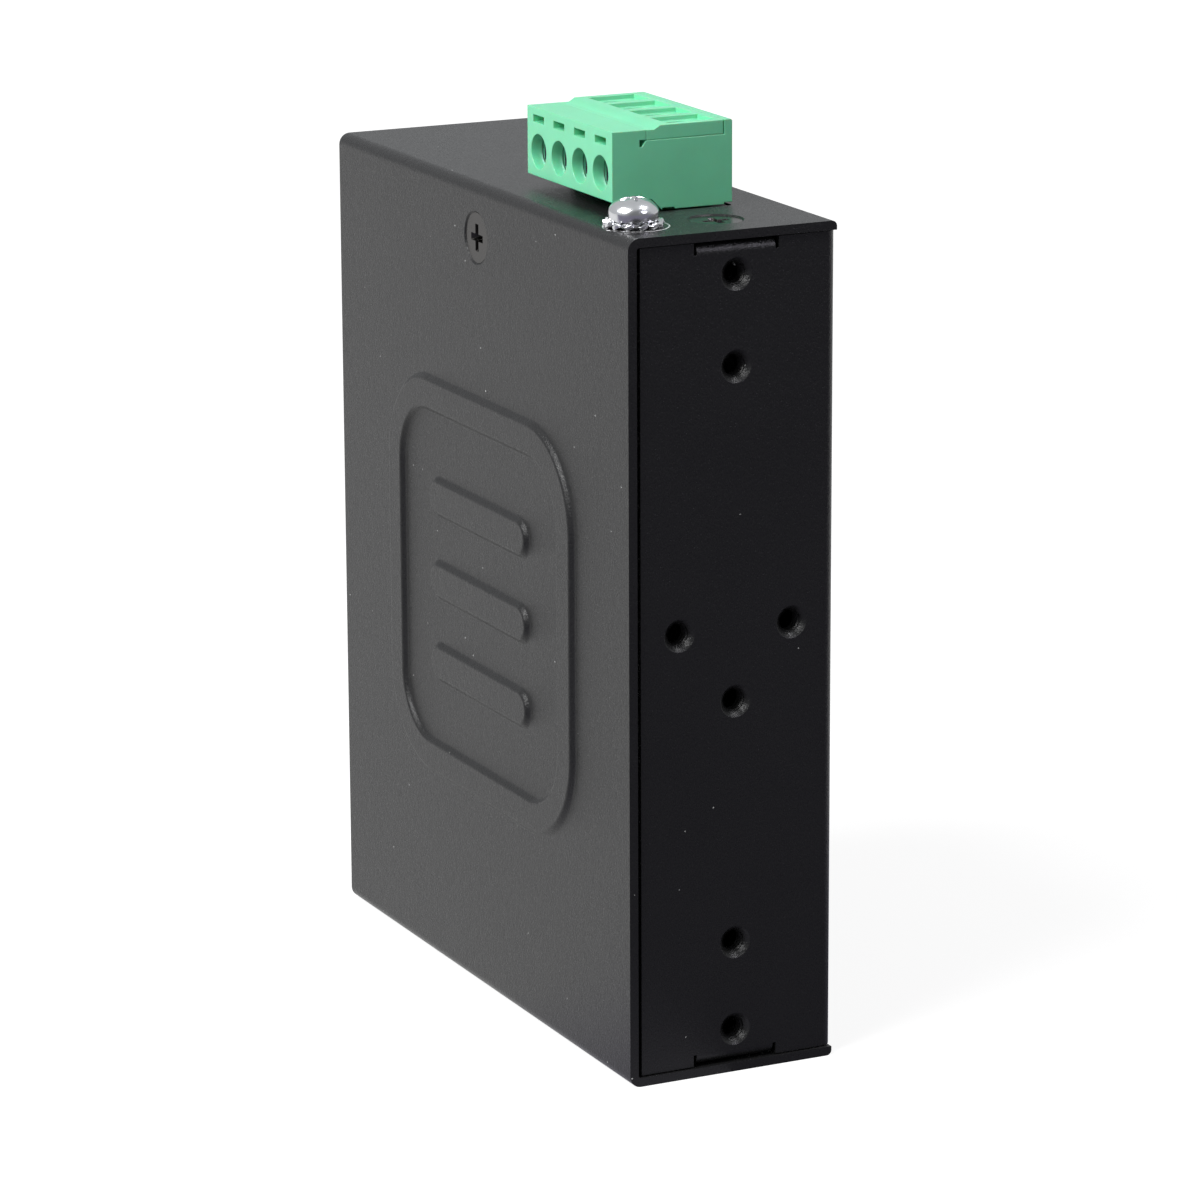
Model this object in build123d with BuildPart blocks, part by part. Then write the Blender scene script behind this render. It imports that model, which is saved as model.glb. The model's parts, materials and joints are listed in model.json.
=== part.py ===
"""Compact five-port industrial ethernet switch in a folded sheet-steel case.

Millimetres. The ports face -Y, the rail side faces +Y, the cover's broad side faces +X, and the
power plug stands on top. The origin is the middle of the underside.
"""

import os

from build123d import *

os.makedirs("parts", exist_ok=True)

# Case
case_width = 24.6
case_depth = 75.3
case_end = 4.0
sheet = 1.0
bend_inside = 0.3
flange_short = 0.25
panel_inset = 0.3
cover_gap = 0.1
side_gap = 0.5
edge_round = 0.6

# Pressed pattern on the broad side: a rounded frame with a row of ribs in it
swage_length = 48.6
swage_height = 46.4
swage_band = 4.2
swage_corner = 11.0
swage_rise = 0.55
swage_soft = 0.5
swage_slope = 45
swage_shift = 0.35
swage_drop = 0.8
rib_count = 3
rib_length = 26.0
rib_width = 4.6
rib_pitch = 9.6

# Tapped holes in the back panel, heights counted from the middle of the case
mount_shift = 0.35
tapped_radius = 1.25
dimple_radius = 1.8
collar_radius = 2.1
collar_length = 1.2
plate_hole_far = 41.3
plate_hole_near = 31.5
clip_hole_rise = 3.2
clip_hole_drop = 4.7
clip_hole_spacing = 13.3

# Bent tabs that the cover's end screws go into
tab_width = 9.2
tab_relief = 0.35
tab_screw_inset = 6.4
tab_screw_shift = -0.7
tab_end = 3.6

# Countersunk cover screws
sink_radius = 3.0
sink_angle = 90
head_recess = 0.15
head_gap = 0.05
thread_gap = 0.02
screw_clearance = 1.7
cover_screw_length = 5.0
recess_span = 3.0
recess_bar = 0.8
recess_depth = 1.0
recess_draft = 12

# Side post between the two broad walls
post_room = 3.41
post_drop = 6.0
post_flats = 5.0
clinch_radius = 1.6

# Ground screw, its toothed washer and the clinch nut below the flange
ground_inset = 3.9
ground_setback = 6.6
ground_head_radius = 2.65
ground_head_height = 2.35
ground_head_rim = 0.75
dome_sweep = 90
ground_screw_length = 6.0
washer_hole = 1.6
washer_ring = 2.45
washer_teeth = 13
tooth_reach = 0.75
tooth_width = 0.8
tooth_twist = 25
washer_sheet = 0.45
washer_height = 0.76
ground_nut_radius = 2.5
ground_nut_height = 1.6
ground_shank_radius = 2.1

# Circuit board, parallel to the broad side
standoff_length = 3.6
board_thickness = 1.6
board_gap = 0.3
board_margin = 2.0
board_back_room = 2.6
board_hole_radius = 1.6
standoff_radius = 2.3
board_head_radius = 2.6
board_head_height = 1.7
board_thread_depth = 2.6
notch_gap = 0.6

# Ethernet sockets, stacked along the front
port_count = 5
jack_width = 15.4
port_gap = 1.4
jack_height = 13.3
jack_depth = 16.0
jack_gap = 0.15
shield_sheet = 0.25
shield_fit = 0.05
finger_length = 5.0
finger_width = 2.2
finger_rise = 0.45
mouth_width = 11.8
mouth_height = 6.9
mouth_floor = 3.7
mouth_depth = 12.3
mouth_setback = 0.1
latch_wide = 6.2
latch_narrow = 3.4
latch_step = 0.9
stop_wall = 1.0
leg_room = 1.6
light_width = 3.0
light_height = 1.8
light_fit = 0.05
light_length = 13.0
contact_count = 8
contact_pitch = 1.02
contact_width = 0.4
contact_thickness = 0.3
contact_drop = 2.0
contact_run = 7.2

# Power lights beside the sockets, on the board's other face
pipe_count = 2
pipe_radius = 1.2
pipe_fit = 0.05
pipe_length = 4.2
pipe_proud = 0.25
pipe_pitch = 4.0
pipe_drop = 4.6
lamp_length = 1.6
lamp_width = 1.8

# Power terminal: header on the board, plug above the case
pole_count = 4
pole_pitch = 5.08
plug_wall = 0.28
plug_setback = 23.8
header_width = 8.6
header_depth = 12.0
header_wall = 1.2
header_floor = 3.3
header_drop = 0.1
window_gap = 0.4
window_corner = 0.5
pin_size = 1.0
pin_fit = 0.05
pin_drop = 1.8
pin_reach = 6.8
pin_tail = 1.0
plug_lift = 0.1
plug_front = 9.35
plug_rear = 4.8
plug_height = 8.65
entry_lift = 1.2
entry_shelf = 3.5
foot_notch = 0.2
insert_fit = 0.15
insert_reach = 7.6
wire_radius = 1.9
wire_rise = 3.95
entry_wall = 1.3
slot_width = 2.7
slot_height = 0.8
slot_rise = 7.45
slot_depth = 1.3
chamber_width = 4.0
chamber_rise = 1.85
chamber_height = 4.1
chamber_rear = 3.0
cap_drop = 1.15
cap_rise = 0.42
cap_front = 5.4
cap_shelf = 1.0
cap_slope = 0.7
cap_rear = 3.85
cap_fit = 0.04
cap_edge = 0.08
cap_corner = 0.15
notch_length = 0.75
notch_depth = 0.65
notch_heel = 0.3
notch_slit = 0.1
screw_offset = -0.3
pocket_length = 5.7
pocket_width = 4.1
pocket_depth = 0.55
bore_radius = 1.75
clamp_head_radius = 1.65
clamp_head_height = 1.6
clamp_head_drop = 0.25
clamp_screw_length = 5.2
driver_slot = 0.5
driver_turn = 30
clamp_wall = 0.6
clamp_fit = 0.06
strip_thickness = 0.4
strip_width = 3.0
sleeve_width = 2.4
sleeve_wall = 0.4
sleeve_setback = 0.4

# Board components: sizes are along Y, along Z and out from the board
part_gap = 2.5
chip_size = 13.0
chip_height = 1.2
chip_corner = 0.8
transformer_depth = 8.4
transformer_width = 10.4
transformer_height = 5.6
transformer_setback = 2.6
crystal_length = 11.0
crystal_width = 4.6
crystal_height = 3.4
crystal_rise = 3.0
memory_length = 4.9
memory_width = 3.9
memory_height = 1.5
memory_drop = 3.2
capacitor_radius = 4.0
capacitor_height = 11.5
capacitor_groove = 0.3
capacitor_count = 3
capacitor_pitch = 10.5
capacitor_setback = 15.0
capacitor_drop = 24.0
inductor_size = 9.6
inductor_height = 4.4
inductor_corner = 2.2
inductor_hub = 3.2
inductor_hollow = 1.1
inductor_pitch = 13.0
inductor_gap = 0.8
fuse_length = 7.0
fuse_width = 4.6
fuse_height = 1.4
fuse_drop = 17.2
surge_length = 4.4
surge_width = 3.4
surge_height = 2.2
surge_count = 2
surge_setback = 4.6
surge_pitch = 4.8
converter_length = 5.0
converter_width = 4.0
converter_height = 1.5
converter_gap = 4.2

# Planes and levels that follow from the sizes above
bend_outside = bend_inside + sheet
port_pitch = jack_width + port_gap
case_height = port_count * port_pitch + 2 * case_end
cover_x = case_width / 2
cover_inner_x = cover_x - sheet
chassis_x = -cover_x
flange_end_x = chassis_x + flange_short
wall_x = chassis_x + sheet
panel_y = case_depth / 2 - panel_inset
panel_inner_y = panel_y - sheet
panel_edge_x = cover_inner_x - side_gap
mount_x = (chassis_x + panel_edge_x) / 2 + mount_shift
chassis_low = sheet + cover_gap
chassis_high = case_height - sheet - cover_gap
middle_z = case_height / 2
tab_screw_x = mount_x + tab_screw_shift
tab_screw_y = case_depth / 2 - tab_screw_inset
plug_y = case_depth / 2 - plug_setback
plug_length = pole_count * pole_pitch + 2 * plug_wall
post_y = plug_y - plug_length / 2 - post_room
post_z = case_height - post_drop
ground_x = cover_x - ground_inset
ground_y = case_depth / 2 - ground_setback
swage_y = swage_shift
swage_z = middle_z - swage_drop
ends = (-1, 1)

plate_rises = (plate_hole_near, plate_hole_far)
plate_holes = [(mount_x, middle_z + end * rise) for end in ends for rise in plate_rises]
clip_holes = [(mount_x + end * clip_hole_spacing / 2, middle_z + clip_hole_rise) for end in ends]
clip_holes.append((mount_x, middle_z - clip_hole_drop))
back_holes = plate_holes + clip_holes

screw_seats = [
    Plane((tab_screw_x, tab_screw_y, case_height), z_dir=(0, 0, 1)),
    Plane((tab_screw_x, tab_screw_y, 0), z_dir=(0, 0, -1)),
    Plane((cover_x, post_y, post_z), z_dir=(1, 0, 0)),
]

port_heights = [middle_z + (row - (port_count - 1) / 2) * port_pitch for row in range(port_count)]
solder_x = wall_x + standoff_length
board_x = solder_x + board_thickness
jack_x = board_x + jack_height / 2
jack_back_y = jack_depth - case_depth / 2
board_front = board_gap - panel_inner_y
board_back = panel_inner_y - collar_length - board_back_room
board_low = chassis_low + board_margin
board_high = chassis_high - board_margin
board_face = Plane.YZ.offset(board_x)
solder_face = Plane.YZ.offset(solder_x)

header_x = board_x + header_width / 2
header_top = case_height - header_drop
pole_rows = [plug_y + (pole - (pole_count - 1) / 2) * pole_pitch for pole in range(pole_count)]
plug_floor = case_height + plug_lift
plug_top = plug_floor + plug_height
plug_front_x = header_x + plug_front
plug_rear_x = header_x - plug_rear
cap_seat = plug_top - cap_drop
cap_top = plug_top + cap_rise
cap_front_x = header_x + cap_front
cap_rear_x = header_x - cap_rear
screw_x = header_x + screw_offset
chamber_front_x = plug_front_x - entry_wall
chamber_rear_x = header_x - chamber_rear
chamber_floor = plug_floor + chamber_rise
chamber_roof = chamber_floor + chamber_height
pin_x = header_x
pin_turn_z = header_top - header_depth - pin_drop + pin_size

pipe_x = (wall_x + solder_x) / 2
pipe_heights = [chassis_high - pipe_drop - light * pipe_pitch for light in range(pipe_count)]

transformer_y = jack_back_y + transformer_setback + transformer_depth / 2
chip_y = transformer_y + transformer_depth / 2 + part_gap + chip_size / 2
crystal_y = chip_y + chip_size / 2 + part_gap + crystal_length / 2
capacitor_y = board_back - capacitor_setback
inductor_z = middle_z - chip_size / 2 - inductor_gap - inductor_size / 2
converter_z = inductor_z - inductor_size / 2 - converter_gap - converter_width / 2
surge_y = board_back - surge_setback
standoff_inset = 2 * standoff_radius
mount_spots = [
    (transformer_y, port_heights[0] + port_pitch / 2),
    (transformer_y, port_heights[-1] - port_pitch / 2),
    (board_back - standoff_inset, board_low + standoff_inset),
    (board_back - standoff_inset, board_high - standoff_inset),
]


def swage_sketch(inset):
    """The pressed pattern, drawn in from its outline by inset."""
    RectangleRounded(swage_length - 2 * inset, swage_height - 2 * inset, swage_corner - inset)
    inner = swage_band - inset
    RectangleRounded(
        swage_length - 2 * inner, swage_height - 2 * inner, swage_corner - inner, mode=Mode.SUBTRACT
    )
    with GridLocations(0, rib_pitch, 1, rib_count):
        SlotOverall(rib_length - 2 * inset, rib_width - 2 * inset)


def on_pattern(edge):
    """True for an edge that stands over the pressed pattern's own rectangle."""
    place = edge.center()
    return abs(place.Y - swage_y) <= swage_length / 2 and abs(place.Z - swage_z) <= swage_height / 2


def at_foot(edge):
    """True for an edge where the pressed pattern leaves the flat of the broad side."""
    return on_pattern(edge) and abs(edge.center().X - cover_x) < swage_rise / 4


def cross_sketch():
    """The cross of a driver recess."""
    Rectangle(recess_span, recess_bar)
    Rectangle(recess_bar, recess_span)


# Cover: top flange, broad side and bottom flange from one sheet
with BuildPart() as cover:
    with BuildSketch(Plane.XZ):
        with BuildLine():
            FilletPolyline(
                (flange_end_x, case_height), (cover_x, case_height), (cover_x, 0), (flange_end_x, 0),
                radius=bend_outside,
            )
            offset(amount=sheet, side=Side.RIGHT)
        make_face()
    extrude(amount=case_depth / 2, both=True)
    flange_edges = cover.edges().filter_by(Axis.Y).group_by(Axis.X)[0].sort_by(Axis.Z)
    fillet([flange_edges[0], flange_edges[-1]], radius=edge_round)
    with BuildSketch(Plane.YZ.offset(cover_x)):
        with Locations((swage_y, swage_z)):
            swage_sketch(0)
    extrude(amount=swage_rise, taper=swage_slope)
    fillet(cover.edges().filter_by(on_pattern).group_by(Axis.X)[-1], radius=swage_soft)
    fillet(cover.edges().filter_by(at_foot), radius=swage_soft)
    with BuildSketch(Plane.YZ.offset(cover_inner_x)):
        with Locations((swage_y, swage_z)):
            swage_sketch(swage_rise)
    extrude(amount=swage_rise, mode=Mode.SUBTRACT)
    with BuildSketch(Plane.XY.offset(case_height)):
        with Locations((header_x, plug_y)):
            RectangleRounded(header_width + 2 * window_gap, plug_length + 2 * window_gap, window_corner)
        with Locations((ground_x, ground_y)):
            Circle(ground_shank_radius)
    extrude(amount=-sheet, mode=Mode.SUBTRACT)
    with Locations(*screw_seats):
        CounterSinkHole(screw_clearance, sink_radius, depth=2 * sheet, counter_sink_angle=sink_angle)
cover.part.label = "cover"
export_step(cover.part, "parts/cover.step")

# Chassis: back panel, other broad side and port panel from one sheet, with the screw tabs
with BuildPart() as chassis:
    with BuildSketch(Plane.XY.offset(chassis_low)):
        with BuildLine():
            FilletPolyline(
                (panel_edge_x, panel_y), (chassis_x, panel_y),
                (chassis_x, -panel_y), (panel_edge_x, -panel_y),
                radius=bend_outside,
            )
            offset(amount=sheet, side=Side.LEFT)
        make_face()
    extrude(amount=chassis_high - chassis_low)
    with BuildSketch(Plane.XZ.offset(-panel_y)):
        with Locations((mount_x, chassis_low), (mount_x, chassis_high)):
            Rectangle(tab_width + 2 * tab_relief, 2 * bend_outside)
    extrude(amount=sheet, mode=Mode.SUBTRACT)
    with BuildSketch(Plane.YZ.offset(mount_x)):
        with BuildLine():
            FilletPolyline(
                (tab_screw_y - tab_end, chassis_low), (panel_y, chassis_low),
                (panel_y, chassis_high), (tab_screw_y - tab_end, chassis_high),
                radius=bend_outside,
            )
            offset(amount=sheet, side=Side.LEFT)
        make_face()
    extrude(amount=tab_width / 2, both=True)
    with BuildSketch(Plane.XY.offset(chassis_low + sheet)):
        with Locations((tab_screw_x, tab_screw_y)):
            Circle(collar_radius)
    extrude(amount=collar_length)
    with BuildSketch(Plane.XY.offset(chassis_high - sheet)):
        with Locations((tab_screw_x, tab_screw_y)):
            Circle(collar_radius)
    extrude(amount=-collar_length)
    with BuildSketch(Plane.XZ.offset(-panel_inner_y)):
        with Locations(*back_holes):
            Circle(collar_radius)
    extrude(amount=collar_length)
    with Locations(*screw_seats[:2]):
        tab_depth = 2 * sheet + cover_gap + collar_length
        CounterSinkHole(tapped_radius, sink_radius, depth=tab_depth, counter_sink_angle=sink_angle)
    with Locations(*[Plane((x, panel_y, z), x_dir=(1, 0, 0), z_dir=(0, 1, 0)) for x, z in back_holes]):
        hole_depth = sheet + collar_length
        CounterSinkHole(tapped_radius, dimple_radius, depth=hole_depth, counter_sink_angle=sink_angle)
    with BuildSketch(Plane.XZ.offset(panel_y)):
        with Locations(*[(jack_x, z) for z in port_heights]):
            Rectangle(jack_height + 2 * jack_gap, jack_width + 2 * jack_gap)
        with Locations(*[(pipe_x, z) for z in pipe_heights]):
            Circle(pipe_radius + pipe_fit)
    extrude(amount=-sheet, mode=Mode.SUBTRACT)
    with BuildSketch(Plane.YZ.offset(chassis_x)):
        with Locations((post_y, post_z), *mount_spots):
            Circle(clinch_radius)
    extrude(amount=sheet, mode=Mode.SUBTRACT)
chassis.part.label = "chassis"
export_step(chassis.part, "parts/chassis.step")

# Countersunk screws that hold the cover: one shape, seated three times
with BuildPart() as cover_screw:
    with BuildSketch(Plane.XZ):
        with BuildLine():
            head_radius = sink_radius - head_recess - head_gap
            shank_radius = tapped_radius - thread_gap
            Polyline(
                (0, 0), (head_radius, 0), (shank_radius, shank_radius - head_radius),
                (shank_radius, -cover_screw_length), (0, -cover_screw_length), close=True,
            )
        make_face()
    revolve(axis=Axis.Z)
    with BuildSketch():
        cross_sketch()
    extrude(amount=-recess_depth, taper=recess_draft, mode=Mode.SUBTRACT)
with BuildPart() as cover_screws:
    with Locations(*[seat.offset(-head_recess) for seat in screw_seats]):
        add(cover_screw.part)
cover_screws.part.label = "cover_screws"
export_step(cover_screws.part, "parts/cover_screws.step")

# Side post: clinched into the chassis wall, it takes the side screw
with BuildPart() as side_post:
    with BuildSketch(Plane.YZ.offset(wall_x)):
        with Locations((post_y, post_z)):
            RegularPolygon(post_flats / 2, 6, major_radius=False)
    extrude(amount=cover_inner_x - wall_x)
    with BuildSketch(Plane.YZ.offset(chassis_x)):
        with Locations((post_y, post_z)):
            Circle(clinch_radius)
    extrude(amount=sheet)
    with Locations(screw_seats[2]):
        CounterSinkHole(
            tapped_radius, sink_radius, depth=sheet + 2 * cover_screw_length, counter_sink_angle=sink_angle
        )
side_post.part.label = "side_post"
export_step(side_post.part, "parts/side_post.step")

# Ground screw with its domed head, over the toothed washer
with BuildPart() as ground_screw:
    with BuildSketch(Plane.XZ):
        with BuildLine():
            shank_radius = tapped_radius - thread_gap
            Polyline(
                (0, ground_head_height), (0, -ground_screw_length), (shank_radius, -ground_screw_length),
                (shank_radius, 0), (ground_head_radius, 0), (ground_head_radius, ground_head_rim),
            )
            EllipticalCenterArc(
                (0, ground_head_rim), ground_head_radius, ground_head_height - ground_head_rim,
                arc_size=dome_sweep,
            )
        make_face()
    revolve(axis=Axis.Z)
    with BuildSketch(Plane.XY.offset(ground_head_height)):
        cross_sketch()
    extrude(amount=-recess_depth, taper=recess_draft, mode=Mode.SUBTRACT)
ground_seat = Location((ground_x, ground_y, case_height))
ground_screw.part.locate(ground_seat * Location((0, 0, washer_height)))
ground_screw.part.label = "ground_screw"
export_step(ground_screw.part, "parts/ground_screw.step")

with BuildPart() as ground_washer:
    with Locations(ground_seat * Location((0, 0, washer_height / 2))):
        Cylinder(washer_ring, washer_sheet)
        with PolarLocations(washer_ring + tooth_reach / 2 - tooth_width / 4, washer_teeth):
            Box(tooth_reach + tooth_width / 2, tooth_width, washer_sheet, rotation=(tooth_twist, 0, 0))
        Cylinder(washer_hole, 2 * washer_height, mode=Mode.SUBTRACT)
ground_washer.part.label = "ground_washer"
export_step(ground_washer.part, "parts/ground_washer.step")

with BuildPart() as ground_nut:
    with BuildSketch(Plane.XY.offset(case_height)):
        with Locations((ground_x, ground_y)):
            Circle(ground_shank_radius)
    extrude(amount=-sheet)
    with BuildSketch(Plane.XY.offset(case_height - sheet)):
        with Locations((ground_x, ground_y)):
            Circle(ground_nut_radius)
    extrude(amount=-ground_nut_height)
    with Locations(ground_seat):
        Hole(tapped_radius, depth=sheet + ground_nut_height)
ground_nut.part.label = "ground_nut"
export_step(ground_nut.part, "parts/ground_nut.step")

# Circuit board with a notch for the side post
with BuildPart() as circuit_board:
    with BuildSketch(solder_face):
        with Locations(((board_front + board_back) / 2, (board_low + board_high) / 2)):
            Rectangle(board_back - board_front, board_high - board_low)
        notch_radius = post_flats / 2 + notch_gap
        with Locations((post_y, post_z)):
            Circle(notch_radius, mode=Mode.SUBTRACT)
        with Locations((post_y, (post_z + board_high) / 2)):
            Rectangle(2 * notch_radius, board_high - post_z, mode=Mode.SUBTRACT)
        with Locations(*mount_spots):
            Circle(board_hole_radius, mode=Mode.SUBTRACT)
        with Locations(*[(y, pin_turn_z - pin_size / 2) for y in pole_rows]):
            Rectangle(pin_size + 2 * pin_fit, pin_size + 2 * pin_fit, mode=Mode.SUBTRACT)
    extrude(amount=board_thickness)
circuit_board.part.label = "circuit_board"
export_step(circuit_board.part, "parts/circuit_board.step")

with BuildPart() as board_standoffs:
    with BuildSketch(Plane.YZ.offset(wall_x)):
        with Locations(*mount_spots):
            Circle(standoff_radius)
    extrude(amount=solder_x - wall_x)
    with BuildSketch(Plane.YZ.offset(chassis_x)):
        with Locations(*mount_spots):
            Circle(clinch_radius)
    extrude(amount=sheet)
    with BuildSketch(solder_face):
        with Locations(*mount_spots):
            Circle(tapped_radius)
    extrude(amount=-board_thread_depth - thread_gap, mode=Mode.SUBTRACT)
board_standoffs.part.label = "board_standoffs"
export_step(board_standoffs.part, "parts/board_standoffs.step")

with BuildPart() as board_screws:
    with BuildSketch(board_face):
        with Locations(*mount_spots):
            Circle(board_head_radius)
    extrude(amount=board_head_height)
    fillet(board_screws.edges().group_by(Axis.X)[-1], radius=board_head_height / 2)
    with BuildSketch(board_face):
        with Locations(*mount_spots):
            Circle(tapped_radius - thread_gap)
    extrude(amount=-board_thickness - board_thread_depth)
    with BuildSketch(board_face.offset(board_head_height)):
        with Locations(*mount_spots):
            cross_sketch()
    extrude(amount=-recess_depth, mode=Mode.SUBTRACT)
board_screws.part.label = "board_screws"
export_step(board_screws.part, "parts/board_screws.step")

# Ethernet sockets
port_face_y = -case_depth / 2
body_width = jack_width - 2 * (shield_sheet + shield_fit)
body_top_x = board_x + jack_height - shield_sheet - shield_fit
mouth_low_x = board_x + mouth_floor
mouth_high_x = mouth_low_x + mouth_height
body_front_y = port_face_y + mouth_setback
body_back_y = jack_back_y - shield_sheet - shield_fit
mouth_end_y = body_front_y + mouth_depth
leg_front_y = mouth_end_y + stop_wall
contact_x = mouth_high_x - contact_thickness
contact_span = contact_count * contact_pitch
front_plane = Plane.XZ.offset(-port_face_y)
for number, port_z in enumerate(port_heights, start=1):
    with BuildPart() as jack_shield:
        with BuildSketch(front_plane):
            with Locations((jack_x, port_z)):
                Rectangle(jack_height, jack_width)
            with Locations((board_x + (jack_height - shield_sheet) / 2, port_z)):
                Rectangle(jack_height - shield_sheet, jack_width - 2 * shield_sheet, mode=Mode.SUBTRACT)
        extrude(amount=-jack_depth)
        with BuildSketch(front_plane.offset(-jack_depth)):
            with Locations((jack_x, port_z)):
                Rectangle(jack_height, jack_width)
        extrude(amount=shield_sheet)
        with BuildSketch(Plane.XY.offset(port_z)):
            with BuildLine():
                finger_y = -panel_inner_y + finger_rise
                top_x = board_x + jack_height
                Polyline(
                    (top_x, finger_y), (top_x + finger_rise, finger_y + finger_length / 2),
                    (top_x, finger_y + finger_length), close=True,
                )
            make_face()
        extrude(amount=finger_width / 2, both=True)
    jack_shield.part.label = f"jack_shield_{number}"
    export_step(jack_shield.part, f"parts/jack_shield_{number}.step")

    with BuildPart() as jack_housing:
        with BuildSketch(Plane.XZ.offset(-body_front_y)):
            with Locations(((board_x + body_top_x) / 2, port_z)):
                Rectangle(body_top_x - board_x, body_width)
        extrude(amount=body_front_y - body_back_y)
        with BuildSketch(Plane.XZ.offset(-body_front_y)):
            with Locations(((mouth_low_x + mouth_high_x) / 2, port_z)):
                Rectangle(mouth_height, mouth_width)
            with Locations((mouth_low_x - latch_step / 2, port_z)):
                Rectangle(latch_step, latch_wide)
            with Locations((mouth_low_x - latch_step, port_z)):
                Rectangle(2 * latch_step, latch_narrow)
        extrude(amount=-mouth_depth, mode=Mode.SUBTRACT)
        with BuildSketch(Plane.XZ.offset(-leg_front_y)):
            with Locations(((board_x + mouth_high_x) / 2, port_z)):
                Rectangle(mouth_high_x - board_x, contact_span)
        extrude(amount=-leg_room, mode=Mode.SUBTRACT)
        with BuildSketch(Plane.XZ.offset(-mouth_end_y)):
            with Locations((mouth_high_x - contact_thickness, port_z)):
                Rectangle(2 * contact_thickness, contact_span)
        extrude(amount=-stop_wall, mode=Mode.SUBTRACT)
        with BuildSketch(Plane.XZ.offset(-body_front_y)):
            light_z = [port_z + end * (body_width - light_width) / 2 for end in ends]
            with Locations(*[(body_top_x - light_height / 2, z) for z in light_z]):
                Rectangle(light_height, light_width)
        extrude(amount=-light_length, mode=Mode.SUBTRACT)
    jack_housing.part.label = f"jack_housing_{number}"
    export_step(jack_housing.part, f"parts/jack_housing_{number}.step")

    with BuildPart() as jack_contacts:
        for row in range(contact_count):
            wire_z = port_z + (row - (contact_count - 1) / 2) * contact_pitch
            with BuildSketch(Plane.XY.offset(wire_z)):
                with BuildLine():
                    leg_y = leg_front_y + leg_room / 2
                    fold_y = mouth_end_y - contact_run - contact_thickness
                    Polyline(
                        (board_x, leg_y), (contact_x, leg_y), (contact_x, fold_y),
                        (contact_x - contact_drop, fold_y + contact_run),
                    )
                trace(line_width=contact_thickness)
            extrude(amount=contact_width / 2, both=True)
    jack_contacts.part.label = f"jack_contacts_{number}"
    export_step(jack_contacts.part, f"parts/jack_contacts_{number}.step")

for name, side in (("link_lights", -1), ("speed_lights", 1)):
    with BuildPart() as port_lights:
        with BuildSketch(Plane.XZ.offset(-body_front_y)):
            light_x = body_top_x - light_height / 2
            light_shift = side * (body_width - light_width) / 2
            with Locations(*[(light_x, port_z + light_shift) for port_z in port_heights]):
                Rectangle(light_height - 2 * light_fit, light_width - 2 * light_fit)
        extrude(amount=-light_length)
    port_lights.part.label = name
    export_step(port_lights.part, f"parts/{name}.step")

# Power lights: clear rods in the port panel with a lamp behind each
pipe_front_y = -panel_y - pipe_proud
pipe_end_y = pipe_front_y + pipe_length
with BuildPart() as light_pipes:
    with BuildSketch(Plane.XZ.offset(-pipe_front_y)):
        with Locations(*[(pipe_x, z) for z in pipe_heights]):
            Circle(pipe_radius)
    extrude(amount=-pipe_length)
    fillet(light_pipes.edges().group_by(Axis.Y)[0], radius=pipe_proud)
light_pipes.part.label = "light_pipes"
export_step(light_pipes.part, "parts/light_pipes.step")

with BuildPart() as power_lamps:
    with BuildSketch(Plane.XZ.offset(-pipe_end_y)):
        with Locations(*[((pipe_x - pipe_radius + solder_x) / 2, z) for z in pipe_heights]):
            Rectangle(solder_x - pipe_x + pipe_radius, lamp_width)
    extrude(amount=-lamp_length)
power_lamps.part.label = "power_lamps"
export_step(power_lamps.part, "parts/power_lamps.step")

# Terminal header: an open box on the board that the plug goes into
cavity_x = header_width / 2 - header_wall
cavity_y = plug_length / 2 - header_wall
with BuildPart() as terminal_header:
    with BuildSketch(Plane.XY.offset(header_top)):
        with Locations((header_x, plug_y)):
            Rectangle(header_width, plug_length)
    extrude(amount=-header_depth)
    with BuildSketch(Plane.XY.offset(header_top)):
        with Locations((header_x, plug_y)):
            Rectangle(2 * cavity_x, 2 * cavity_y)
    extrude(amount=header_floor - header_depth, mode=Mode.SUBTRACT)
    with BuildSketch(Plane.XY.offset(header_top - header_depth)):
        with Locations(*[(pin_x, y) for y in pole_rows]):
            Rectangle(pin_size + 2 * pin_fit, pin_size + 2 * pin_fit)
    extrude(amount=header_floor, mode=Mode.SUBTRACT)
terminal_header.part.label = "terminal_header"
export_step(terminal_header.part, "parts/terminal_header.step")

with BuildPart() as header_pins:
    for y in pole_rows:
        with BuildSketch(Plane.XZ.offset(-y)):
            with BuildLine():
                level_z = pin_turn_z - pin_size / 2
                pin_top_z = header_top - header_depth + header_floor + pin_reach
                Polyline((solder_x - pin_tail, level_z), (pin_x, level_z), (pin_x, pin_top_z))
            trace(line_width=pin_size)
        extrude(amount=pin_size / 2, both=True)
header_pins.part.label = "header_pins"
export_step(header_pins.part, "parts/header_pins.step")

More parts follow.
